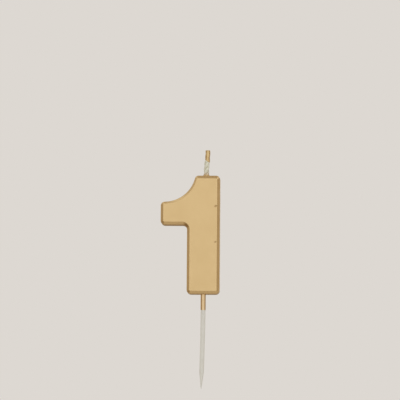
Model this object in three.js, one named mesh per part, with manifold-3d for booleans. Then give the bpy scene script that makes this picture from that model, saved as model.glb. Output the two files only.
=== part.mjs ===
// Number candle "1" on a cake pick, in millimetres.
// +Z runs up the pick's axis, -Y faces the viewer and +X is the viewer's right.
// The origin lies on the pick's axis, where the cake's surface comes to.

import * as THREE from 'three';
import { mergeVertices } from 'three/addons/utils/BufferGeometryUtils.js';
import Module from 'manifold-3d';

const wasm = await Module();
wasm.setup();

// Numeral, as seen from the front
const numeralHeight = 37.65;
const numeralThickness = 8;
const stemWidth = 10.4;
const flagReach = 8.4;
const flagDrop = 15.7;
const flagTipHeight = 7.4;
const topWidth = 7.8;
const hollowDepth = 2.75;
const cornerRadius = 1.3;
const armpitRadius = 1.5;

// Bevel round the front and back faces, with its two ridges rounded
const bevelWidth = 0.95;
const bevelDepth = 0.95;
const ridgeRadius = 0.5;
const ridgeRoomShare = 0.9;

// Gold coat, and the small collar that it draws up the wick
const coatThickness = 0.25;
const collarHeight = 0.45;
const collarSpread = 0.4;
const collarLip = 0.1;
const collarWaist = { spread: 0.2, height: 0.12 };

// Wick of twisted yarns; its height counts from the numeral to the top of the gold film
const wickDiameter = 1.52;
const wickHeight = 8.35;
const wickOffset = 0.75;
const wickLean = 0.45;
const wickBendStart = 1;
const wickPitch = 6;
const plyCount = 3;

// Gold film on the wick's top end, its lower edge slanting down to the right
const tipFilm = 0.04;
const tipLength = 3.2;
const tipSlant = 0.95;

// Pick with its point below and its barbed head in the wax
const pickDiameter = 1.54;
const pickPointDiameter = 1.44;
const pickReach = 24.8;
const pickTaper = 5.1;
const pickTipDiameter = 0.3;
const barbCount = 3;
const barbDiameter = 2.3;
const barbPitch = 2.6;
const barbRise = 0.3;
const barbStart = 2.5;
const headLength = 1.5;

// Gold film on the pick, from the cake's surface up to the numeral
const neckLength = 5;
const neckFilm = 0.04;
const neckLip = 0.015;
const neckTaper = 0.8;

// Fits
const filmGap = 0.02;
const socketClearance = 0.04;
const plyGap = 0.03;
const wickRest = 1.2;
const overcut = 1;

// Facets
const cornerSteps = 5;
const hollowSteps = 16;
const ridgeSteps = 2;
const roundSides = 20;
const plySides = 8;
const plyStepsPerTurn = 12;
const tipSteps = 6;
const leastRadius = 0.05;
const weldDistance = 0.001;

// Levels
const numeralBase = neckLength;
const numeralTop = numeralBase + numeralHeight;
const headTop = numeralBase + barbStart + barbCount * barbPitch + headLength;
const wickBottom = headTop + wickRest;
const wickRadius = wickDiameter / 2;
const pickRadius = pickDiameter / 2;

// Yarns as thick as fit round the wick's line, with plyGap between them
const crowding = Math.hypot(1, (Math.PI * wickRadius) / wickPitch);
const plySpread = 2 * Math.sin(Math.PI / plyCount);
const plyRadius = (plySpread * wickRadius - plyGap) / (2 * crowding + plySpread);
const plyDistance = wickRadius - plyRadius;

// The yarns' ends are cut square to their lay, so a corner of each stands above wickTop
const filmTop = numeralTop + wickHeight;
const wickTop = filmTop - tipFilm - plyRadius;
const plySteps = Math.ceil((plyStepsPerTurn * (wickTop - wickBottom)) / wickPitch);

// Solids

// Welds shared corners, drops triangles that shrank to a line and turns the faces outwards
function closed(geometry) {
  geometry.deleteAttribute('normal');
  geometry.deleteAttribute('uv');
  const welded = mergeVertices(geometry, weldDistance);
  const old = welded.index.array;
  const kept = [];
  for (let i = 0; i < old.length; i += 3) {
    const [a, b, c] = [old[i], old[i + 1], old[i + 2]];
    if (a !== b && b !== c && c !== a) kept.push(a, b, c);
  }
  if (signedVolume(welded, kept) < 0) kept.reverse();
  welded.setIndex(kept);
  return welded;
}

function signedVolume(geometry, index) {
  const position = geometry.attributes.position;
  const corner = (n) => new THREE.Vector3().fromBufferAttribute(position, index[n]);
  let volume = 0;
  for (let i = 0; i < index.length; i += 3) {
    volume += corner(i).dot(corner(i + 1).cross(corner(i + 2))) / 6;
  }
  return volume;
}

function toManifold(geometry) {
  const mesh = new wasm.Mesh({
    numProp: 3,
    vertProperties: new Float32Array(geometry.attributes.position.array),
    triVerts: new Uint32Array(geometry.index.array),
  });
  return new wasm.Manifold(mesh);
}

function fromManifold(solid) {
  const mesh = solid.getMesh();
  const geometry = new THREE.BufferGeometry();
  geometry.setAttribute('position', new THREE.BufferAttribute(mesh.vertProperties, 3));
  geometry.setIndex(new THREE.BufferAttribute(mesh.triVerts, 1));
  return geometry;
}

// The first geometry with some added and others cut away
function combine(start, added, cut) {
  let solid = toManifold(start);
  for (const geometry of added) solid = solid.add(toManifold(geometry));
  for (const geometry of cut) solid = solid.subtract(toManifold(geometry));
  return fromManifold(solid);
}

// A turned solid about the line x = axisX, y = 0, from [radius, height] pairs
function turned(profile, axisX = 0) {
  const points = profile.map(([radius, height]) => new THREE.Vector2(radius, height));
  const geometry = new THREE.LatheGeometry(points, roundSides);
  geometry.rotateX(Math.PI / 2);
  geometry.translate(axisX, 0, 0);
  return closed(geometry);
}

function rod(radius, low, high, axisX = 0) {
  return turned([[0, low], [radius, low], [radius, high], [0, high]], axisX);
}

// Numeral

function arc(centre, radius, from, to, steps) {
  const points = [];
  for (let i = 0; i <= steps; i++) {
    const angle = from + ((to - from) * i) / steps;
    const x = centre.x + radius * Math.cos(angle);
    const y = centre.y + radius * Math.sin(angle);
    points.push(new THREE.Vector2(x, y));
  }
  return points;
}

const sides = {
  left: -stemWidth / 2 - flagReach,
  stem: -stemWidth / 2,
  right: stemWidth / 2,
  bottom: numeralBase,
  arm: numeralTop - flagDrop,
  top: numeralTop,
};

// The hollow sweep between the flat top and the flag's tip is an arc
const hollowHigh = new THREE.Vector2(sides.right - topWidth, sides.top);
const hollowLow = new THREE.Vector2(sides.left, sides.arm + flagTipHeight);
const hollowChord = hollowHigh.clone().sub(hollowLow);
const halfChord = hollowChord.length() / 2;
const hollowRadius = (halfChord ** 2 + hollowDepth ** 2) / (2 * hollowDepth);
const hollowCentre = hollowLow
  .clone()
  .lerp(hollowHigh, 0.5)
  .add(new THREE.Vector2(-hollowChord.y, hollowChord.x).setLength(hollowRadius - hollowDepth));

// The numeral's outline, moved inwards by inset, anticlockwise, with as many points at any inset
function outline(inset) {
  const quarter = Math.PI / 2;
  const round = Math.max(cornerRadius - inset, leastRadius);
  const depth = inset + round;
  const corner = (x, y, from) => arc(new THREE.Vector2(x, y), round, from, from + quarter, cornerSteps);

  const reach = hollowRadius + depth;
  const highY = sides.top - depth;
  const highX = hollowCentre.x + Math.sqrt(reach ** 2 - (highY - hollowCentre.y) ** 2);
  const lowX = sides.left + depth;
  const lowY = hollowCentre.y - Math.sqrt(reach ** 2 - (lowX - hollowCentre.x) ** 2);
  const high = new THREE.Vector2(highX, highY);
  const low = new THREE.Vector2(lowX, lowY);
  const highTurn = hollowCentre.clone().sub(high).angle();
  const lowTurn = hollowCentre.clone().sub(low).angle();
  const sweep = arc(hollowCentre, hollowRadius + inset, highTurn - Math.PI, lowTurn - Math.PI, hollowSteps);
  const armpit = new THREE.Vector2(sides.stem - armpitRadius, sides.arm - armpitRadius);

  return [
    ...corner(sides.right - depth, sides.bottom + depth, -quarter),
    ...corner(sides.right - depth, sides.top - depth, 0),
    ...arc(high, round, quarter, highTurn, cornerSteps),
    ...sweep.slice(1, -1),
    ...arc(low, round, lowTurn, 2 * quarter, cornerSteps),
    ...corner(sides.left + depth, sides.arm + depth, 2 * quarter),
    ...arc(armpit, armpitRadius + inset, quarter, 0, cornerSteps),
    ...corner(sides.stem + depth, sides.bottom + depth, 2 * quarter),
  ];
}

// The bevel's section as pairs of inset and depth, moved inwards by skin
function bevelSection(skin) {
  const slope = Math.hypot(1 / bevelWidth, 1 / bevelDepth);
  const length = Math.hypot(bevelWidth, bevelDepth);
  const faceTurn = Math.atan2(bevelDepth, bevelWidth);
  const wallTurn = Math.PI / 2 - faceTurn;
  const roomForRidges = (ridgeRoomShare * length) / (Math.tan(faceTurn / 2) + Math.tan(wallTurn / 2));
  const ridge = Math.max(Math.min(ridgeRadius, roomForRidges) - skin, leastRadius);
  const depth = skin + ridge;
  const faceCentre = new THREE.Vector2(bevelWidth * (1 + depth * slope - depth / bevelDepth), depth);
  const wallCentre = new THREE.Vector2(depth, bevelDepth * (1 + depth * slope - depth / bevelWidth));
  const bevelAngle = -Math.PI / 2 - faceTurn;
  return [
    ...arc(faceCentre, ridge, -Math.PI / 2, bevelAngle, ridgeSteps),
    ...arc(wallCentre, ridge, bevelAngle, -Math.PI, ridgeSteps),
  ];
}

// The bevelled numeral, moved inwards by skin on every side
function numeral(skin) {
  const section = bevelSection(skin);
  const front = section.map((step) => ({ inset: step.x, y: step.y - numeralThickness / 2 }));
  const back = front.map(({ inset, y }) => ({ inset, y: -y })).reverse();
  const rings = [...front, ...back].map(({ inset, y }) =>
    outline(inset).map((point) => new THREE.Vector3(point.x, y, point.y)),
  );
  const count = rings[0].length;
  const index = [];
  for (let ring = 0; ring + 1 < rings.length; ring++) {
    for (let i = 0; i < count; i++) {
      const near = ring * count + i;
      const next = ring * count + ((i + 1) % count);
      index.push(near, next + count, next, near, near + count, next + count);
    }
  }
  const faceShape = rings[0].map((point) => new THREE.Vector2(point.x, point.z));
  const last = (rings.length - 1) * count;
  for (const [a, b, c] of THREE.ShapeUtils.triangulateShape(faceShape, [])) {
    index.push(a, b, c);
    index.push(last + a, last + c, last + b);
  }
  const geometry = new THREE.BufferGeometry().setFromPoints(rings.flat());
  geometry.setIndex(index);
  return closed(geometry);
}

// Wick

// The wick's own line, straight in the wax and bending to the right above it, with an
// optional distance and phase that make it one yarn's helix round that line
class WickLine extends THREE.Curve {
  constructor(low, high, distance = 0, phase = 0) {
    super();
    Object.assign(this, { low, high, distance, phase });
  }

  getPoint(t, target = new THREE.Vector3()) {
    const z = this.low + (this.high - this.low) * t;
    const bend = THREE.MathUtils.smoothstep(z, numeralTop + wickBendStart, filmTop);
    const angle = this.phase + (2 * Math.PI * (z - wickBottom)) / wickPitch;
    const x = wickOffset + wickLean * bend + this.distance * Math.cos(angle);
    return target.set(x, this.distance * Math.sin(angle), z);
  }
}

function alongLine(line, radius, sidesRound, steps) {
  const section = new THREE.Shape(arc(new THREE.Vector2(), radius, 0, 2 * Math.PI, sidesRound).slice(0, -1));
  return closed(new THREE.ExtrudeGeometry(section, { steps, extrudePath: line, curveSegments: 1 }));
}

function wickPly(number) {
  const line = new WickLine(wickBottom, wickTop, plyDistance, (2 * Math.PI * number) / plyCount);
  return alongLine(line, plyRadius, plySides, plySteps);
}

// A thin cap over the wick's end; a turned block cuts its lower edge to a slant
function wickTipCoat() {
  const innerRadius = wickRadius + filmGap;
  const outerRadius = innerRadius + tipFilm;
  const middle = filmTop - tipLength - tipSlant / 2;
  const lowest = middle - tipSlant;
  const outer = alongLine(new WickLine(lowest, filmTop), outerRadius, roundSides, tipSteps);
  const inner = alongLine(new WickLine(lowest - overcut, filmTop - tipFilm), innerRadius, roundSides, tipSteps);
  const blockSize = tipLength + wickDiameter;
  const block = new THREE.BoxGeometry(blockSize, blockSize, blockSize);
  block.translate(0, 0, -blockSize / 2);
  block.rotateY(Math.atan2(tipSlant, 2 * outerRadius));
  block.translate(new WickLine(middle, filmTop).getPoint(0).x, 0, middle);
  return combine(outer, [], [inner, closed(block)]);
}

// Pick

function pickProfile(clearance) {
  const radius = pickRadius + clearance;
  const profile = [
    [0, -pickReach],
    [pickTipDiameter / 2, -pickReach],
    [pickPointDiameter / 2, pickTaper - pickReach],
    [radius, 0],
  ];
  for (let i = 0; i < barbCount; i++) {
    const low = numeralBase + barbStart + i * barbPitch;
    profile.push([radius, low], [barbDiameter / 2 + clearance, low + barbRise]);
  }
  profile.push([radius, headTop - headLength], [radius / 2, headTop + clearance], [0, headTop + clearance]);
  return profile;
}

function neckCoat() {
  const inner = pickRadius + filmGap;
  const outer = inner + neckFilm;
  const lip = inner + neckLip;
  const profile = [[inner, 0], [lip, 0], [outer, neckTaper], [outer, neckLength], [inner, neckLength], [inner, 0]];
  return turned(profile);
}

// Bodies of wax and gold

function waxCore() {
  const channel = rod(wickRadius + socketClearance, wickBottom - socketClearance, numeralTop + overcut, wickOffset);
  const socket = turned(pickProfile(socketClearance));
  return combine(numeral(coatThickness + filmGap), [], [channel, socket]);
}

function goldCoat() {
  const wickHole = wickRadius + socketClearance;
  const collarSkirt = wickHole + collarSpread;
  const collar = turned(
    [
      [0, numeralTop - coatThickness / 2],
      [collarSkirt, numeralTop - coatThickness / 2],
      [collarSkirt, numeralTop],
      [wickHole + collarWaist.spread, numeralTop + collarWaist.height],
      [wickHole + collarLip, numeralTop + collarHeight],
      [0, numeralTop + collarHeight],
    ],
    wickOffset,
  );
  const hollow = numeral(coatThickness);
  const wickBore = rod(wickHole, numeralTop - overcut, numeralTop + collarHeight + overcut, wickOffset);
  const pickBore = rod(pickRadius + socketClearance, numeralBase - overcut, numeralBase + overcut);
  return combine(numeral(0), [collar], [hollow, wickBore, pickBore]);
}

// Assembly

const finishes = {
  wax: { color: 0xefe3c6, roughness: 0.55, metalness: 0 },
  gold: { color: 0xd3b585, roughness: 0.42, metalness: 0.7 },
  cotton: { color: 0xc8c2af, roughness: 0.95, metalness: 0 },
  plastic: { color: 0xcbc6ba, roughness: 0.35, metalness: 0 },
};

const candle = new THREE.Group();

function addPiece(name, geometry, finish) {
  const piece = new THREE.Mesh(geometry, new THREE.MeshStandardMaterial(finishes[finish]));
  piece.name = name;
  candle.add(piece);
}

addPiece('wax_core', waxCore(), 'wax');
addPiece('gold_coat', goldCoat(), 'gold');
for (let number = 0; number < plyCount; number++) {
  addPiece(`wick_ply_${number + 1}`, wickPly(number), 'cotton');
}
addPiece('wick_tip_coat', wickTipCoat(), 'gold');
addPiece('pick', turned(pickProfile(0)), 'plastic');
addPiece('neck_coat', neckCoat(), 'gold');

export default candle;
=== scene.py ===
import math

import bmesh
import bpy
from mathutils import Matrix, Vector


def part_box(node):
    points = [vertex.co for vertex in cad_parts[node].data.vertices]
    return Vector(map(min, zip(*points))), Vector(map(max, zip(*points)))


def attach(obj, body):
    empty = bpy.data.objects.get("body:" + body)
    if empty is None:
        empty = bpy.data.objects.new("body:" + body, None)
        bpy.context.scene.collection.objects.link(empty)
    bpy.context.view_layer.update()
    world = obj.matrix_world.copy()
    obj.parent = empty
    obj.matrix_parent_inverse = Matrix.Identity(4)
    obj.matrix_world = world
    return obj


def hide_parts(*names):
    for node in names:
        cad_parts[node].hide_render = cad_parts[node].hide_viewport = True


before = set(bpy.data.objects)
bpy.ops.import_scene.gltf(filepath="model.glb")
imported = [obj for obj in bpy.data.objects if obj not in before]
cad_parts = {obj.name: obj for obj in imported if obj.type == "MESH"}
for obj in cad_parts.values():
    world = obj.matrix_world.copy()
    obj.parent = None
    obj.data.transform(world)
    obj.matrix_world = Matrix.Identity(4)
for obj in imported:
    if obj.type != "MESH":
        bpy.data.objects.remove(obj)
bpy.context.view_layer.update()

mm = 0.001
quarter = math.pi / 2
fullTurn = 2 * math.pi
slack = 0.001 * mm           # within which two places count as one
weld = 0.0004 * mm

# Hand tools

def deselectAll():
    if bpy.context.mode != "OBJECT":
        bpy.ops.object.mode_set(mode="OBJECT")
    bpy.ops.object.select_all(action="DESELECT")


def makeActive(piece):
    deselectAll()
    piece.select_set(True)
    bpy.context.view_layer.objects.active = piece


def nameLast(name):
    piece = bpy.context.object
    piece.name = name
    piece.data.name = name
    return piece


def applyPlace(piece):
    makeActive(piece)
    bpy.ops.object.transform_apply(location=True, rotation=True, scale=True)


def openEdit(piece, kind="VERT"):
    makeActive(piece)
    bpy.ops.object.mode_set(mode="EDIT")
    bpy.ops.mesh.select_mode(type=kind)
    bpy.ops.mesh.select_all(action="SELECT")


def closeEdit():
    bpy.ops.object.mode_set(mode="OBJECT")


def selectWhere(piece, kind, test):      # in edit mode; test gets each vertex, edge or face
    bpy.ops.mesh.select_mode(type=kind)
    bpy.ops.mesh.select_all(action="DESELECT")
    mesh = bmesh.from_edit_mesh(piece.data)
    items = {"VERT": mesh.verts, "EDGE": mesh.edges, "FACE": mesh.faces}[kind]
    for item in items:
        if test(item):
            item.select_set(True)
    mesh.select_flush_mode()
    bmesh.update_edit_mesh(piece.data)


def addModifier(piece, kind, **values):
    makeActive(piece)
    bpy.ops.object.modifier_add(type=kind)
    modifier = piece.modifiers[-1]
    for name, value in values.items():
        setattr(modifier, name, value)
    bpy.ops.object.modifier_apply(modifier=modifier.name)


def combinePieces(piece, other, operation):      # UNION or DIFFERENCE; the other piece is used up
    addModifier(piece, "BOOLEAN", object=other, operation=operation, solver="EXACT")
    makeActive(other)
    bpy.ops.object.delete()


def copyPiece(piece, name):
    makeActive(piece)
    bpy.ops.object.duplicate(linked=False)
    return nameLast(name)


def tidyMesh(piece):      # merges doubles, then turns the faces outwards
    openEdit(piece)
    bpy.ops.mesh.remove_doubles(threshold=weld)
    bpy.ops.mesh.normals_make_consistent(inside=False)
    closeEdit()


def smoothPiece(piece, degrees):
    makeActive(piece)
    bpy.ops.object.shade_smooth_by_angle(angle=math.radians(degrees))


def startVertex(name, x, y, z):      # leaves its one vertex selected, in edit mode
    deselectAll()
    bpy.ops.mesh.primitive_plane_add(size=1 * mm, location=(x, y, z))
    piece = nameLast(name)
    applyPlace(piece)
    openEdit(piece)
    bpy.ops.mesh.merge(type="CENTER")
    return piece


def growRings(name, rings, sides, closedLoop=False):      # rings of (x, z, radius), one after another
    deselectAll()
    x, z, radius = rings[0]
    fill = "NOTHING" if closedLoop else "NGON"
    bpy.ops.mesh.primitive_circle_add(vertices=sides, radius=radius, fill_type=fill, location=(x, 0, z))
    piece = nameLast(name)
    applyPlace(piece)
    openEdit(piece, "EDGE" if closedLoop else "FACE")
    for nextX, nextZ, nextRadius in rings[1:]:
        move = {"value": (nextX - x, 0, nextZ - z)}
        bpy.ops.mesh.extrude_region_move(TRANSFORM_OT_translate=move)
        grow = nextRadius / radius
        bpy.ops.transform.resize(value=(grow, grow, 1), center_override=(nextX, 0, nextZ))
        x, z, radius = nextX, nextZ, nextRadius
    closeEdit()
    tidyMesh(piece)
    return piece


def dress(piece, node, material):
    piece.data.materials.clear()
    piece.data.materials.append(material)
    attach(piece, "root")
    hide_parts(node)


# Camera

camera = {
    "viewWidth": 127.4 * mm,        # how much the picture takes in at the candle
    "distance": 1.0,
    "azimuth": 1.85,
    "elevation": -4.4,
    "roll": 0.42,
    "target": (-1.235 * mm, 0, 35.09 * mm),
    "sensor": 36.0,
    "clipStart": 0.01,
}


def placeCamera():
    azimuth = math.radians(camera["azimuth"])
    elevation = math.radians(camera["elevation"])
    back = Vector((
        math.sin(azimuth) * math.cos(elevation),
        -math.cos(azimuth) * math.cos(elevation),
        math.sin(elevation),
    ))
    place = Vector(camera["target"]) + back * camera["distance"]
    roll = Matrix.Rotation(math.radians(camera["roll"]), 3, "Z")
    turn = back.to_track_quat("Z", "Y").to_matrix() @ roll
    deselectAll()
    bpy.ops.object.camera_add(location=place, rotation=turn.to_euler())
    shot = nameLast("camera")
    shot.data.sensor_width = camera["sensor"]
    shot.data.lens = camera["sensor"] * camera["distance"] / camera["viewWidth"]
    shot.data.clip_start = camera["clipStart"]
    bpy.context.scene.camera = shot


placeCamera()
print("camera placed")

# Materials

def seen(red, green, blue):      # a colour as it looks on the screen, 0 to 255
    def one(value):
        value = value / 255
        return value / 12.92 if value <= 0.04045 else ((value + 0.055) / 1.055) ** 2.4
    return (one(red), one(green), one(blue), 1.0)


def newMaterial(name):
    material = bpy.data.materials.new(name)
    material.use_nodes = True
    tree = material.node_tree
    return material, tree.nodes, tree.links, tree.nodes["Principled BSDF"]


def mixColours(nodes, links, factor, first, second):
    mix = nodes.new("ShaderNodeMix")
    mix.data_type = "RGBA"
    factorIn, firstIn, secondIn = mix.inputs[0], mix.inputs[6], mix.inputs[7]
    links.new(factor, factorIn)
    for socket, value in ((firstIn, first), (secondIn, second)):
        if isinstance(value, tuple):
            socket.default_value = value
        else:
            links.new(value, socket)
    return mix.outputs[2]


def mapValue(nodes, links, value, low, high, outLow, outHigh, smooth=False):
    ranger = nodes.new("ShaderNodeMapRange")
    if smooth:
        ranger.interpolation_type = "SMOOTHSTEP"
    links.new(value, ranger.inputs["Value"])
    for name, number in (("From Min", low), ("From Max", high), ("To Min", outLow), ("To Max", outHigh)):
        ranger.inputs[name].default_value = number
    return ranger.outputs["Result"]


def doMath(nodes, links, operation, *values):
    node = nodes.new("ShaderNodeMath")
    node.operation = operation
    for socket, value in zip(node.inputs, values):
        if isinstance(value, (int, float)):
            socket.default_value = value
        else:
            links.new(value, socket)
    return node.outputs["Value"]


def addNoise(nodes, links, vector, scale, detail):
    texture = nodes.new("ShaderNodeTexNoise")
    texture.inputs["Detail"].default_value = detail
    links.new(vector, texture.inputs["Vector"])
    links.new(scale, texture.inputs["Scale"])
    return texture.outputs["Fac"]


def distanceFrom(nodes, links, centre, along):      # in Object coordinates, counting the axes in along
    coords = nodes.new("ShaderNodeTexCoord").outputs["Object"]
    for operation, value in (("SUBTRACT", centre), ("MULTIPLY", along)):
        step = nodes.new("ShaderNodeVectorMath")
        step.operation = operation
        links.new(coords, step.inputs[0])
        step.inputs[1].default_value = value
        coords = step.outputs["Vector"]
    length = nodes.new("ShaderNodeVectorMath")
    length.operation = "LENGTH"
    links.new(coords, length.inputs[0])
    return length.outputs["Value"]


def addBump(nodes, links, shader, height, distance):
    bump = nodes.new("ShaderNodeBump")
    bump.inputs["Distance"].default_value = distance
    links.new(height, bump.inputs["Height"])
    links.new(bump.outputs["Normal"], shader.inputs["Normal"])


grain = {
    "cloudDetail": 3,
    "grainDetail": 2,
    "middle": 0.5,             # the noise's mean level
    "low": 0.3,                # the noise from which the tone goes over from deep
    "high": 0.7,               # to light
}


def buildGrainGroup():      # cloudy tone with a fine grain on it, for every finish here
    group = bpy.data.node_groups.new("cloudAndGrain", "ShaderNodeTree")
    inputs = (
        ("Vector", "NodeSocketVector", (0, 0, 0)),
        ("Cloud Scale", "NodeSocketFloat", 150),
        ("Grain Scale", "NodeSocketFloat", 5000),
        ("Grain Share", "NodeSocketFloat", 0.3),
        ("Light Tone", "NodeSocketColor", (1, 1, 1, 1)),
        ("Deep Tone", "NodeSocketColor", (0, 0, 0, 1)),
        ("Roughness", "NodeSocketFloat", 0.4),
        ("Roughness Spread", "NodeSocketFloat", 0.05),
    )
    for name, kind, value in inputs:
        group.interface.new_socket(name=name, in_out="INPUT", socket_type=kind).default_value = value
    for name, kind in (("Color", "Color"), ("Roughness", "Float"), ("Height", "Float")):
        group.interface.new_socket(name=name, in_out="OUTPUT", socket_type="NodeSocket" + kind)
    nodes, links = group.nodes, group.links
    given = nodes.new("NodeGroupInput").outputs
    made = nodes.new("NodeGroupOutput").inputs
    cloud = addNoise(nodes, links, given["Vector"], given["Cloud Scale"], grain["cloudDetail"])
    speck = addNoise(nodes, links, given["Vector"], given["Grain Scale"], grain["grainDetail"])
    speckOff = doMath(nodes, links, "SUBTRACT", speck, grain["middle"])
    fine = doMath(nodes, links, "MULTIPLY", speckOff, given["Grain Share"])
    height = doMath(nodes, links, "ADD", cloud, fine)
    spread = mapValue(nodes, links, height, grain["low"], grain["high"], 0, 1)
    links.new(mixColours(nodes, links, spread, given["Deep Tone"], given["Light Tone"]), made["Color"])
    offMiddle = doMath(nodes, links, "SUBTRACT", spread, grain["middle"])
    drift = doMath(nodes, links, "MULTIPLY", offMiddle, given["Roughness Spread"])
    links.new(doMath(nodes, links, "ADD", given["Roughness"], drift), made["Roughness"])
    links.new(height, made["Height"])
    return group


grainGroup = buildGrainGroup()


def makeFinish(name, grainValues, bumpDepth, shaderValues, stretch=(1, 1, 1)):
    material, nodes, links, shader = newMaterial(name)
    mapping = nodes.new("ShaderNodeMapping")
    mapping.inputs["Scale"].default_value = stretch
    links.new(nodes.new("ShaderNodeTexCoord").outputs["Object"], mapping.inputs["Vector"])
    placed = nodes.new("ShaderNodeGroup")
    placed.node_tree = grainGroup
    links.new(mapping.outputs["Vector"], placed.inputs["Vector"])
    for socket, value in grainValues.items():
        placed.inputs[socket].default_value = value
    links.new(placed.outputs["Color"], shader.inputs["Base Color"])
    links.new(placed.outputs["Roughness"], shader.inputs["Roughness"])
    addBump(nodes, links, shader, placed.outputs["Height"], bumpDepth)
    for socket, value in shaderValues.items():
        shader.inputs[socket].default_value = value
    return material


def tintNear(material, tone, share, centre, along, reach):      # fades out between reach's two ends
    nodes, links = material.node_tree.nodes, material.node_tree.links
    socket = nodes["Principled BSDF"].inputs["Base Color"]
    distance = distanceFrom(nodes, links, centre, along)
    tint = mapValue(nodes, links, distance, *reach, share, 0, smooth=True)
    links.new(mixColours(nodes, links, tint, socket.links[0].from_socket, tone), socket)


goldLacquer = makeFinish(
    "gold_lacquer",
    {
        "Cloud Scale": 160, "Grain Scale": 6000, "Grain Share": 0.25,
        "Light Tone": (0.655, 0.46, 0.222, 1), "Deep Tone": (0.615, 0.425, 0.199, 1),
        "Roughness": 0.37, "Roughness Spread": 0.08,
    },
    0.02 * mm,
    {"Metallic": 0.85},
)
goldFilm = makeFinish(
    "gold_film",
    {
        "Cloud Scale": 900, "Grain Scale": 7000, "Grain Share": 0.3,
        "Light Tone": (0.59, 0.415, 0.192, 1), "Deep Tone": (0.53, 0.355, 0.16, 1),
        "Roughness": 0.3, "Roughness Spread": 0.1,
    },
    0.03 * mm,
    {"Metallic": 0.85},
)
goldNeck = makeFinish(      # the same film on the pale pick, glossier and a little paler
    "gold_neck",
    {
        "Cloud Scale": 900, "Grain Scale": 7000, "Grain Share": 0.3,
        "Light Tone": (0.6, 0.424, 0.236, 1), "Deep Tone": (0.54, 0.367, 0.189, 1),
        "Roughness": 0.17, "Roughness Spread": 0.06,
    },
    0.007 * mm,
    {"Metallic": 1},
)
milkyPlastic = makeFinish(
    "milky_plastic",
    {
        "Cloud Scale": 300, "Grain Scale": 3000, "Grain Share": 0.15,
        "Light Tone": seen(232, 228, 216), "Deep Tone": seen(227, 223, 210),
        "Roughness": 0.46, "Roughness Spread": 0.08,
    },
    0.01 * mm,
    {"Transmission Weight": 0.15, "IOR": 1.49, "Sheen Weight": 0.3},
)
creamWax = makeFinish(
    "cream_wax",
    {
        "Cloud Scale": 220, "Grain Scale": 2600, "Grain Share": 0.3,
        "Light Tone": seen(244, 236, 214), "Deep Tone": seen(232, 219, 190),
        "Roughness": 0.5, "Roughness Spread": 0.1,
    },
    0.03 * mm,
    {"Subsurface Weight": 0.5, "Subsurface Scale": 2 * mm, "Subsurface Radius": (1, 0.7, 0.4)},
)
waxedCotton = makeFinish(
    "waxed_cotton",
    {
        "Cloud Scale": 1100, "Grain Scale": 12000, "Grain Share": 0.6,
        "Light Tone": seen(230, 227, 206), "Deep Tone": seen(212, 208, 186),
        "Roughness": 0.62, "Roughness Spread": 0.2,
    },
    0.02 * mm,
    {"Sheen Weight": 0.2},
    stretch=(1, 1, 0.15),
)

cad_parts["wax_core"].material_slots[0].material = creamWax
print("finishes made")

# Numeral

numeral = {
    "height": 37.65 * mm,
    "thickness": 8 * mm,
    "stemWidth": 10.4 * mm,
    "flagReach": 8.4 * mm,
    "flagDrop": 15.7 * mm,
    "flagTipHeight": 7.4 * mm,
    "topWidth": 7.8 * mm,
    "hollowDepth": 2.75 * mm,
    "hollowFine": 0.3 * mm,    # how much finer the bevel is along the hollow
    "hollowFade": 1.3 * mm,    # over which it goes back to the full bevel at its ends
    "leftFine": 0.1 * mm,      # and how much finer on the sides that face left
    "corner": 1.3 * mm,
    "armpit": 1.5 * mm,
    "bevel": 0.95 * mm,
    "ridge": 0.5 * mm,
    "coat": 0.25 * mm,
    "pickHole": 0.81 * mm,
    "boreDepth": 0.5 * mm,     # how far a bore goes into the coat's space
    "boreOverrun": 1 * mm,     # and how far out of it
    "boreSides": 48,
    "cornerSteps": 8,
    "hollowSteps": 40,
    "ridgeSteps": 4,
    "smooth": 30,
}
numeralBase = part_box("neck_coat")[1].z
numeralTop = numeralBase + numeral["height"]


def hollowArc():      # the sweep goes through the ends of the flat top and of the flag's tip
    right = numeral["stemWidth"] / 2
    high = Vector((right - numeral["topWidth"], numeralTop))
    tipTop = numeralTop - numeral["flagDrop"] + numeral["flagTipHeight"]
    low = Vector((-right - numeral["flagReach"], tipTop))
    chord = high - low
    depth = numeral["hollowDepth"]
    radius = ((chord.length / 2) ** 2 + depth**2) / (2 * depth)
    centre = (low + high) / 2 + Vector((-chord.y, chord.x)).normalized() * (radius - depth)
    return centre, radius


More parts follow.
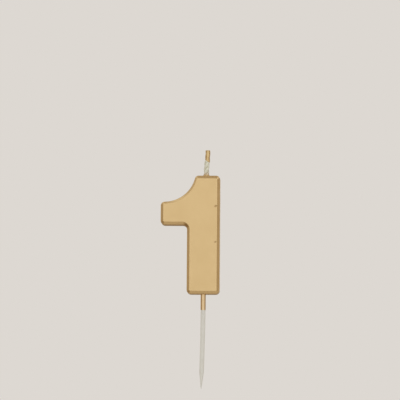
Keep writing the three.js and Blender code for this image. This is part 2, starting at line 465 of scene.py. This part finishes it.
def drawSlab(name, skin):      # the numeral without its bevels, moved inwards by skin
    stemLeft = -numeral["stemWidth"] / 2
    flagLeft = stemLeft - numeral["flagReach"]
    right = -stemLeft
    arm = numeralTop - numeral["flagDrop"]
    depth = numeral["corner"]
    steps = numeral["cornerSteps"]
    centre, radius = hollowArc()
    reach = radius + depth
    highZ = numeralTop - depth
    highX = centre.x + math.sqrt(reach**2 - (highZ - centre.y) ** 2)
    highTurn = math.atan2(centre.y - highZ, centre.x - highX)
    lowX = flagLeft + depth
    lowZ = centre.y - math.sqrt(reach**2 - (lowX - centre.x) ** 2)
    lowTurn = math.atan2(centre.y - lowZ, centre.x - lowX)
    armpitX = stemLeft - numeral["armpit"]
    armpitZ = arm - numeral["armpit"]

    front = skin - numeral["thickness"] / 2
    pen = Vector((right - depth, numeralBase + skin))
    piece = startVertex(name, pen.x, front, pen.y)

    def lineTo(x, z):
        bpy.ops.mesh.extrude_region_move(TRANSFORM_OT_translate={"value": (x - pen.x, 0, z - pen.y)})
        pen.x, pen.y = x, z

    def arcRound(x, z, angle, count):      # anticlockwise as seen from the front
        bpy.ops.mesh.spin(steps=count, angle=angle, center=(x, front, z), axis=(0, 1, 0))
        spoke = Matrix.Rotation(angle, 2) @ Vector((pen.x - x, pen.y - z))
        pen.x, pen.y = x + spoke.x, z + spoke.y

    arcRound(right - depth, numeralBase + depth, quarter, steps)
    lineTo(right - skin, numeralTop - depth)
    arcRound(right - depth, numeralTop - depth, quarter, steps)
    lineTo(highX, numeralTop - skin)
    arcRound(highX, highZ, highTurn - quarter, steps)
    arcRound(centre.x, centre.y, lowTurn - highTurn, numeral["hollowSteps"])
    arcRound(lowX, lowZ, math.pi - lowTurn, steps)
    lineTo(flagLeft + skin, arm + depth)
    arcRound(flagLeft + depth, arm + depth, quarter, steps)
    lineTo(armpitX, arm + skin)
    arcRound(armpitX, armpitZ, -quarter, steps)
    lineTo(stemLeft + skin, numeralBase + depth)
    arcRound(stemLeft + depth, numeralBase + depth, quarter, steps)
    lineTo(right - depth, numeralBase + skin)
    bpy.ops.mesh.select_all(action="SELECT")
    bpy.ops.mesh.remove_doubles(threshold=slack)
    bpy.ops.mesh.edge_face_add()
    thickness = numeral["thickness"] - 2 * skin
    bpy.ops.mesh.extrude_region_move(TRANSFORM_OT_translate={"value": (0, thickness, 0)})
    closeEdit()
    tidyMesh(piece)
    return piece


def bevelRings(piece, depths, offset, segments):      # the outline's edges this deep from the middle
    openEdit(piece, "EDGE")

    def onRing(edge):
        start, end = (corner.co.y for corner in edge.verts)
        return abs(start - end) < slack and any(abs(abs(start) - depth) < slack for depth in depths)

    selectWhere(piece, "EDGE", onRing)
    bpy.ops.mesh.bevel(
        offset_type="OFFSET", offset=offset, segments=segments, profile=0.5,
        affect="EDGES", clamp_overlap=False,
    )
    closeEdit()


def moveRidge(piece, onRidge, reach, scale):      # moves what lies within reach of the hollow's centre
    centre = hollowArc()[0]

    def inHollow(vertex):
        spoke = Vector((vertex.co.x, vertex.co.z)) - centre
        return onRidge(vertex) and spoke.length < reach

    openEdit(piece)
    selectWhere(piece, "VERT", onRidge)
    bpy.ops.mesh.hide(unselected=True)      # so the falloff leaves the other ridge alone
    selectWhere(piece, "VERT", inHollow)
    bpy.ops.transform.resize(
        value=scale, center_override=(centre.x, 0, centre.y), use_proportional_edit=True,
        proportional_edit_falloff="SMOOTH", proportional_size=numeral["hollowFade"],
    )
    bpy.ops.mesh.reveal(select=False)
    closeEdit()


def fineHollow(piece):      # along the hollow the bevel's two ridges come closer together
    radius = hollowArc()[1]
    half = numeral["thickness"] / 2
    bevel = numeral["bevel"]
    fine = numeral["hollowFine"]
    margin = numeral["ridge"] / 2      # takes in all the rings of a ridge
    between = half - bevel / 2
    across = 1 - fine / (radius + bevel)
    along = 1 + fine / (half - bevel)
    faceReach = radius + bevel + margin
    wallReach = radius + margin
    moveRidge(piece, lambda vertex: abs(vertex.co.y) > between, faceReach, (across, 1, across))
    moveRidge(piece, lambda vertex: abs(vertex.co.y) < between, wallReach, (1, along, 1))


def fineLeft(piece):      # on the left sides the face's ridge stands nearer to the wall
    between = (numeral["thickness"] - numeral["bevel"]) / 2
    margin = numeral["ridge"] / 2
    flagSide = numeral["corner"] + margin - numeral["flagReach"] - numeral["stemWidth"] / 2
    underArm = numeralTop - numeral["flagDrop"] + numeral["bevel"] + margin

    def onLeft(vertex):
        x, y, z = vertex.co
        return abs(y) > between and (x < flagSide or (x < 0 and z < underArm))

    openEdit(piece)
    selectWhere(piece, "VERT", onLeft)
    bpy.ops.transform.translate(value=(-numeral["leftFine"], 0, 0))
    closeEdit()


def shapeNumeral():
    half = numeral["thickness"] / 2
    bevel = numeral["bevel"]
    skin = numeral["coat"]
    outer = drawSlab("gold_skin", 0)
    bevelRings(outer, [half], bevel, 1)
    ridgeWidth = numeral["ridge"] * math.tan(quarter / 4)      # each ridge is a bend of 45 degrees
    bevelRings(outer, [half, half - bevel], ridgeWidth, numeral["ridgeSteps"])
    fineHollow(outer)
    fineLeft(outer)
    tidyMesh(outer)
    inner = drawSlab("hollow", skin)
    innerBevel = bevel - skin * (2 - math.sqrt(2))      # keeps the skin as thick across the bevel
    bevelRings(inner, [half - skin], innerBevel, 1)
    tidyMesh(inner)
    return outer, inner


wick = {
    "diameter": 1.72 * mm,     # over the yarns and their loose fibres
    "offset": 0.75 * mm,
    "clearance": 0.02 * mm,
    "lean": 0.45 * mm,
    "leanStart": 1 * mm,       # above the numeral
    "pitch": 6 * mm,
    "plyRadius": 0.51 * mm,
    "plies": 3,
    "strands": 8,
    "strandSides": 3,
    "strandDepth": 0.9,        # of the yarn's radius, at the bottom of its grooves
    "grooveReach": 0.1,        # of a strand's width, to each side of the groove's middle
    "counterPitch": 4.6 * mm,
    "ringStep": 0.1 * mm,
    "pressGap": 0.01 * mm,     # from a yarn's flattened side to the wick's middle plane
    "topDrop": 0.1 * mm,       # from the top of the gold film to the yarns' ends
    "stainTone": seen(205, 168, 128),
    "stain": 0.6,              # gold that has crept up the yarns from the dip
    "stainReach": (0.3 * mm, 1.6 * mm),
    "smooth": 70,
}
wickHole = wick["diameter"] / 2 + wick["clearance"]
collar = {
    "height": 0.45 * mm,
    "spread": 0.4 * mm,
    "lip": 0.1 * mm,
    "steps": 8,
    "sides": 48,
}
nicks = {
    "places": ((27.88 * mm, 1), (16.5 * mm, 0.82)),      # above the numeral's foot, and share of size
    "inset": 1.36 * mm,
    "size": (0.5 * mm, 0.19 * mm, 0.27 * mm),
    "detail": 3,
    "tilt": 30,                # each rises to the right
    # painted shade: this tone darkens the lacquer in and round each dent
    "tone": (0.36, 0.22, 0.09, 1),
    "tint": 0.5,
    "tintReach": (0.2 * mm, 0.5 * mm),
}
armpitShade = {      # painted shade: the lacquer is darkened in the inner corner under the flag, where shade falls
    "tone": (0.42, 0.24, 0.08, 1),
    "tint": 0.8,
    "inset": 0.3,              # of the armpit's radius, from its corner
    "tintReach": (0.3 * mm, 1.1 * mm),
}


def addCollar(outer):      # the coat's meniscus where it climbs the wick
    x = wick["offset"]
    skirt = wickHole + collar["spread"]
    lip = wickHole + collar["lip"]
    rings = [(x, numeralTop - numeral["coat"] / 2, skirt)]
    for step in range(collar["steps"] + 1):
        angle = quarter * step / collar["steps"]
        radius = skirt - (skirt - lip) * math.sin(angle)
        rings.append((x, numeralTop + collar["height"] * (1 - math.cos(angle)), radius))
    combinePieces(outer, growRings("collar", rings, collar["sides"]), "UNION")


def addNicks(outer):      # small dents beside the right front ridge, with painted shade darkening the lacquer in and round each
    for level, share in nicks["places"]:
        deselectAll()
        x = numeral["stemWidth"] / 2 - nicks["inset"]
        place = (x, -numeral["thickness"] / 2, numeralBase + level)
        bpy.ops.mesh.primitive_ico_sphere_add(
            subdivisions=nicks["detail"], radius=share, scale=nicks["size"],
            location=place, rotation=(0, -math.radians(nicks["tilt"]), 0),
        )
        dent = nameLast("dent")
        applyPlace(dent)
        combinePieces(outer, dent, "DIFFERENCE")
        reach = [distance * share for distance in nicks["tintReach"]]
        tintNear(goldLacquer, nicks["tone"], nicks["tint"], place, (1, 1, 1), reach)


def addBore(outer, x, radius, low, high):
    bore = growRings("bore", [(x, low, radius), (x, high, radius)], numeral["boreSides"])
    combinePieces(outer, bore, "DIFFERENCE")


def paintArmpitShade():
    # paints shade into the lacquer round the inner corner under the flag
    inset = numeral["armpit"] * armpitShade["inset"]
    x = -numeral["stemWidth"] / 2 - inset
    z = numeralTop - numeral["flagDrop"] - inset
    tintNear(goldLacquer, armpitShade["tone"], armpitShade["tint"], (x, 0, z), (1, 0, 1), armpitShade["tintReach"])


def makeGoldSkin():
    skin, hollow = shapeNumeral()
    addCollar(skin)
    addNicks(skin)
    combinePieces(skin, hollow, "DIFFERENCE")
    depth, overrun = numeral["boreDepth"], numeral["boreOverrun"]
    wickEnd = numeralTop + collar["height"] + overrun
    addBore(skin, wick["offset"], wickHole, numeralTop - depth, wickEnd)
    addBore(skin, 0, numeral["pickHole"], numeralBase - overrun, numeralBase + depth)
    tidyMesh(skin)
    smoothPiece(skin, numeral["smooth"])
    addModifier(skin, "WEIGHTED_NORMAL", keep_sharp=True)
    dress(skin, "gold_coat", goldLacquer)


paintArmpitShade()
makeGoldSkin()
print("gold skin made")

# Wick

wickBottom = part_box("wick_ply_1")[0].z
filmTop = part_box("wick_tip_coat")[1].z
wickTop = filmTop - wick["topDrop"]


def pressFlat(yarn):      # its two neighbours flatten a yarn where they touch
    turn = quarter - fullTurn / wick["plies"] / 2
    gap = wick["pressGap"]
    for side in (1, -1):
        yarn.rotation_euler.z = side * turn
        applyPlace(yarn)
        openEdit(yarn)
        selectWhere(yarn, "VERT", lambda vertex: vertex.co.x < gap)
        bpy.ops.transform.resize(value=(0, 1, 1), center_override=(gap, 0, 0))
        closeEdit()
        yarn.rotation_euler.z = -side * turn
        applyPlace(yarn)


def makeYarn():      # one straight lobed yarn with its own twist, then laid in its helix
    length = wickTop - wickBottom
    distance = wick["diameter"] / 2 - wick["plyRadius"]
    sides = wick["strands"] * wick["strandSides"]
    deselectAll()
    bpy.ops.mesh.primitive_circle_add(vertices=sides, radius=wick["plyRadius"], fill_type="NOTHING")
    yarn = nameLast("wick_yarn_1")
    openEdit(yarn)
    groove = fullTurn / wick["strands"]

    def inGroove(vertex):
        angle = math.atan2(vertex.co.y, vertex.co.x) / groove
        return abs(angle - round(angle)) < wick["grooveReach"]

    selectWhere(yarn, "VERT", inGroove)
    depth = wick["strandDepth"]
    bpy.ops.transform.resize(value=(depth, depth, 1), center_override=(0, 0, 0))
    closeEdit()
    steps = round(length / wick["ringStep"])
    ownTwist = -fullTurn * length * (1 / wick["counterPitch"] + 1 / wick["pitch"])
    addModifier(
        yarn, "SCREW", angle=ownTwist, screw_offset=length, steps=steps, render_steps=steps,
        use_merge_vertices=False,
    )
    openEdit(yarn, "EDGE")
    for end in (0, length):
        selectWhere(yarn, "EDGE", lambda edge: all(abs(each.co.z - end) < slack for each in edge.verts))
        bpy.ops.mesh.edge_face_add()
    stretch = math.hypot(1, fullTurn * distance / wick["pitch"])
    bpy.ops.mesh.select_all(action="SELECT")
    bpy.ops.transform.resize(value=(1, stretch, 1), center_override=(0, 0, 0))
    bpy.ops.transform.translate(value=(distance, 0, 0))
    closeEdit()
    pressFlat(yarn)
    layAngle = fullTurn * length / wick["pitch"]
    addModifier(yarn, "SIMPLE_DEFORM", deform_method="TWIST", deform_axis="Z", angle=layAngle)
    tidyMesh(yarn)
    return yarn


def leanOver(piece, top, lean):      # the free end is pushed to the right, fading down to the numeral
    openEdit(piece)
    selectWhere(piece, "VERT", lambda vertex: vertex.co.z > top - slack)
    bpy.ops.transform.translate(
        value=(lean, 0, 0), use_proportional_edit=True, proportional_edit_falloff="SMOOTH",
        proportional_size=top - numeralTop - wick["leanStart"],
    )
    closeEdit()


def makeWick():
    first = makeYarn()
    yarns = [first]
    for number in range(1, wick["plies"]):
        yarn = copyPiece(first, f"wick_yarn_{number + 1}")
        yarn.rotation_euler.z = fullTurn * number / wick["plies"]
        yarns.append(yarn)
    for yarn in yarns:
        yarn.location = (wick["offset"], 0, wickBottom)
        applyPlace(yarn)
        smoothPiece(yarn, wick["smooth"])
    return yarns


tip = {
    "film": 0.06 * mm,         # with the gap under it
    "length": 2.9 * mm,        # on the left; the slant is added on the right
    "slant": 1.15 * mm,
    "pinch": 0.86,             # the film holds the yarns closer together
    "pinchFade": 0.8 * mm,
    "core": 0.68 * mm,         # fills the space among the yarns
    "coreEnd": 0.8,            # its top ring is smaller by this share
    "coreSlope": 0.1 * mm,
    "coreSides": 32,
    "voxel": 0.045 * mm,
    "smoothFactor": 0.5,
    "smoothRounds": 12,
    "wall": 0.03 * mm,
    "smooth": 60,
}


def pinchEnd(yarn):
    openEdit(yarn)
    selectWhere(yarn, "VERT", lambda vertex: vertex.co.z > filmTop - tip["length"])
    share = tip["pinch"]
    bpy.ops.transform.resize(
        value=(share, share, 1), center_override=(wick["offset"], 0, filmTop),
        use_proportional_edit=True, proportional_edit_falloff="SMOOTH",
        proportional_size=tip["pinchFade"],
    )
    closeEdit()


def makeWickTip(yarns):      # a thin skin over the yarns' ends and the grooves between them
    low = filmTop - tip["length"] - 2 * tip["slant"]
    x = wick["offset"]
    core = tip["core"]
    rings = [(x, low, core), (x, wickTop - tip["coreSlope"], core), (x, wickTop, core * tip["coreEnd"])]
    film = growRings("gold_wick_tip", rings, tip["coreSides"])
    ends = []
    for yarn in yarns:
        end = copyPiece(yarn, "yarn_end")
        openEdit(end)
        bpy.ops.mesh.bisect(
            plane_co=(0, 0, low), plane_no=(0, 0, 1), use_fill=True, clear_inner=True,
        )
        closeEdit()
        ends.append(end)
    makeActive(film)
    for end in ends:
        end.select_set(True)
    bpy.ops.object.join()
    addModifier(film, "REMESH", mode="VOXEL", voxel_size=tip["voxel"])      # one skin round them all
    addModifier(film, "SMOOTH", factor=tip["smoothFactor"], iterations=tip["smoothRounds"])
    addModifier(film, "DISPLACE", strength=tip["film"], mid_level=0)
    return film


def trimWickTip(film):
    openEdit(film)
    middle = filmTop - tip["length"] - tip["slant"] / 2
    slope = tip["slant"] / wick["diameter"]
    bpy.ops.mesh.bisect(
        plane_co=(wick["offset"], 0, middle), plane_no=(slope, 0, 1), use_fill=False, clear_inner=True,
    )
    closeEdit()
    addModifier(film, "SOLIDIFY", thickness=tip["wall"], offset=-1)
    smoothPiece(film, tip["smooth"])


wickFoot = (wick["offset"], 0, numeralTop)
tintNear(waxedCotton, wick["stainTone"], wick["stain"], wickFoot, (0, 0, 1), wick["stainReach"])
yarns = makeWick()
for yarn in yarns:
    pinchEnd(yarn)
wickTip = makeWickTip(yarns)
trimWickTip(wickTip)
for part in [wickTip, *yarns]:
    leanOver(part, wickTop, wick["lean"])
for number, yarn in enumerate(yarns):
    dress(yarn, f"wick_ply_{number + 1}", waxedCotton)
dress(wickTip, "wick_tip_coat", goldFilm)
print("wick made")

# Pick

pick = {
    "diameter": 1.54 * mm,
    "pointDiameter": 1.44 * mm,
    "tipDiameter": 0.3 * mm,
    "taper": 5.1 * mm,
    "barbs": 3,
    "barbDiameter": 2.3 * mm,
    "barbPitch": 2.6 * mm,
    "barbRise": 0.3 * mm,
    "barbStart": 2.5 * mm,
    "headLength": 1.5 * mm,
    "bow": 0.46 * mm,          # how far the point stands off to the left
    "bowPower": 1.5,
    "shankSteps": 8,
    "taperSteps": 3,
    "tipSteps": 5,
    "sides": 40,
    "smooth": 35,
}
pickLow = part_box("pick")[0].z


def bowAt(z):
    return -pick["bow"] * (z / pickLow) ** pick["bowPower"] if z < 0 else 0


def makePick():
    radius = pick["diameter"] / 2
    pointRadius = pick["pointDiameter"] / 2
    tipRadius = pick["tipDiameter"] / 2
    shoulder = pickLow + pick["taper"]
    rings = []
    for step in range(pick["tipSteps"]):      # the point's end is rounded
        angle = quarter * (step + 0.5) / pick["tipSteps"]
        z = pickLow + tipRadius * (1 - math.cos(angle))
        rings.append((bowAt(z), z, tipRadius * math.sin(angle)))
    for step in range(pick["taperSteps"] + 1):
        share = step / pick["taperSteps"]
        z = pickLow + tipRadius + (shoulder - pickLow - tipRadius) * share
        rings.append((bowAt(z), z, tipRadius + (pointRadius - tipRadius) * share))
    for step in range(1, pick["shankSteps"] + 1):
        share = step / pick["shankSteps"]
        z = shoulder * (1 - share)
        rings.append((bowAt(z), z, pointRadius + (radius - pointRadius) * share))
    z = numeralBase + pick["barbStart"]
    for barb in range(pick["barbs"]):
        rings.append((0, z, radius))
        rings.append((0, z + pick["barbRise"], pick["barbDiameter"] / 2))
        z += pick["barbPitch"]
    rings.append((0, z, radius))
    rings.append((0, z + pick["headLength"], radius / 2))
    moulding = growRings("pick_moulding", rings, pick["sides"])
    smoothPiece(moulding, pick["smooth"])
    dress(moulding, "pick", milkyPlastic)


makePick()

neck = {
    "gap": 0.02 * mm,
    "film": 0.04 * mm,
    "lipShare": 0.35,          # of the film, left at its lower edge
    "taper": 0.8 * mm,
    "taperSteps": 6,
    "sides": 48,
    "smooth": 40,
}


def makeNeck():      # the dipped film on the pick, thinning out at its lower edge
    inner = pick["diameter"] / 2 + neck["gap"]
    rings = [(0, 0, inner)]
    for step in range(neck["taperSteps"] + 1):
        share = step / neck["taperSteps"]
        film = neck["film"] * (neck["lipShare"] + (1 - neck["lipShare"]) * math.sin(quarter * share))
        rings.append((0, neck["taper"] * share, inner + film))
    rings.append((0, numeralBase, inner + neck["film"]))
    rings.append((0, numeralBase, inner))
    rings.append((0, 0, inner))
    sleeve = growRings("gold_neck", rings, neck["sides"], closedLoop=True)
    smoothPiece(sleeve, neck["smooth"])
    dress(sleeve, "neck_coat", goldNeck)


makeNeck()
print("pick and neck made")

# Floor, world and lamps

backdrop = seen(221, 216, 210)
studio = {
    "floorTone": (0.91, 0.92, 0.945, 1),      # cool, because the light that falls on it is warm
    "floorRoughness": 0.9,
    "floorRadius": 0.6,
    "floorSides": 96,
    "fadeStart": 0.2,
    "centre": (0.1, -1, 0),    # the light is strongest just right of the camera
    "front": 1.03,
    "ring": 1.12,              # between the front and the sides
    "side": 0.55,
    "back": 1,
    "backFade": (-0.95, -0.65),      # the cosine off centre where one level goes over into the next
    "ringFade": (0.35, 0.85),
    "frontFade": (0.85, 1),
    "warmth": (1, 1.23, 1.56),      # how much faster green and blue fall off in the darker parts
    "patches": (               # direction, where it starts and is full, and how bright it is
        ((-1, -0.2, -0.9), 0.78, 0.95, 0.55),
        ((0, -0.1, -1), 0.8, 0.97, 1.4),
        ((0, 1, -0.45), 0.85, 0.96, 0.36),
        ((0.55, -0.84, 0), 0.88, 0.98, 1.25),
        ((-0.5, -0.87, 0), 0.88, 0.98, 1.22),
        ((0.7, 0, -0.7), 0.86, 0.98, 1.27),
        ((0, 0, 1), 0.94, 0.99, 0.84),
    ),
}


def makeFloor():
    deselectAll()
    bpy.ops.mesh.primitive_circle_add(
        vertices=studio["floorSides"], radius=studio["floorRadius"], fill_type="NGON",
        location=(0, 0, pickLow),
    )
    floor = nameLast("floor")
    material, nodes, links, shader = newMaterial("pale_floor")
    shader.inputs["Base Color"].default_value = studio["floorTone"]
    shader.inputs["Roughness"].default_value = studio["floorRoughness"]
    clear = nodes.new("ShaderNodeBsdfTransparent")
    mix = nodes.new("ShaderNodeMixShader")
    away = distanceFrom(nodes, links, (0, 0, 0), (1, 1, 0))
    fade = mapValue(nodes, links, away, studio["fadeStart"], studio["floorRadius"], 0, 1, smooth=True)
    below = nodes.new("ShaderNodeNewGeometry").outputs["Backfacing"]
    glossy = nodes.new("ShaderNodeLightPath").outputs["Is Glossy Ray"]
    unseen = doMath(nodes, links, "MAXIMUM", below, glossy)
    links.new(doMath(nodes, links, "MAXIMUM", fade, unseen), mix.inputs["Fac"])
    links.new(shader.outputs["BSDF"], mix.inputs[1])
    links.new(clear.outputs["BSDF"], mix.inputs[2])
    links.new(mix.outputs["Shader"], nodes["Material Output"].inputs["Surface"])
    floor.data.materials.append(material)


makeFloor()


def facing(nodes, links, direction):      # 1 where the world is seen in this direction, -1 opposite
    dot = nodes.new("ShaderNodeVectorMath")
    dot.operation = "DOT_PRODUCT"
    links.new(nodes.new("ShaderNodeTexCoord").outputs["Generated"], dot.inputs[0])
    dot.inputs[1].default_value = Vector(direction).normalized()
    return dot.outputs["Value"]


def makeWorld():      # a wide soft light from the front, darker and warmer at the sides
    world = bpy.data.worlds.new("soft_studio")
    bpy.context.scene.world = world
    world.use_nodes = True
    nodes, links = world.node_tree.nodes, world.node_tree.links
    background = nodes["Background"]
    front = facing(nodes, links, studio["centre"])
    side, ring = studio["side"], studio["ring"]
    level = mapValue(nodes, links, front, *studio["backFade"], studio["back"], side, smooth=True)
    steps = [
        (front, *studio["ringFade"], ring / side),
        (front, *studio["frontFade"], studio["front"] / ring),
    ]
    for direction, reach, full, share in studio["patches"]:
        steps.append((facing(nodes, links, direction), reach, full, share))
    for value, low, high, share in steps:
        change = mapValue(nodes, links, value, low, high, 1, share, smooth=True)
        level = doMath(nodes, links, "MULTIPLY", level, change)
    light = nodes.new("ShaderNodeCombineColor")
    for channel, power in zip(("Red", "Green", "Blue"), studio["warmth"]):
        links.new(doMath(nodes, links, "POWER", level, power), light.inputs[channel])
    path = nodes.new("ShaderNodeLightPath").outputs
    straight = doMath(nodes, links, "MAXIMUM", path["Is Camera Ray"], path["Is Transmission Ray"])
    shown = mixColours(nodes, links, straight, light.outputs["Color"], backdrop)
    links.new(shown, background.inputs["Color"])


makeWorld()


lamps = {
    "forward": 0.05,           # towards the viewer, each a metre from the middle
    "aim": (-2 * mm, 0, 20 * mm),
    "softboxes": (             # name, angle anticlockwise from the right, size, watts and tone
        ("softbox_top", 114, 0.5, 0.78, (0.85, 1.06, 1.3)),
        ("softbox_left", 148, 0.4, 0.21, (0.88, 1.03, 1.25)),
        ("softbox_right", 45, 0.3, 0.58, (0.9, 1, 1.2)),
    ),
}


def addSoftbox(name, angle, size, power, tone):
    turn = math.radians(angle)
    place = Vector((math.cos(turn), -lamps["forward"], math.sin(turn)))
    aim = (Vector(lamps["aim"]) - place).to_track_quat("-Z", "Y").to_euler()
    deselectAll()
    bpy.ops.object.light_add(type="AREA", location=place, rotation=aim)
    lamp = nameLast(name)
    lamp.data.shape = "SQUARE"
    lamp.data.size = size
    lamp.data.energy = power
    lamp.data.color = tone


for softbox in lamps["softboxes"]:
    addSoftbox(*softbox)

bpy.context.scene.view_settings.view_transform = "Standard"
print("studio made")
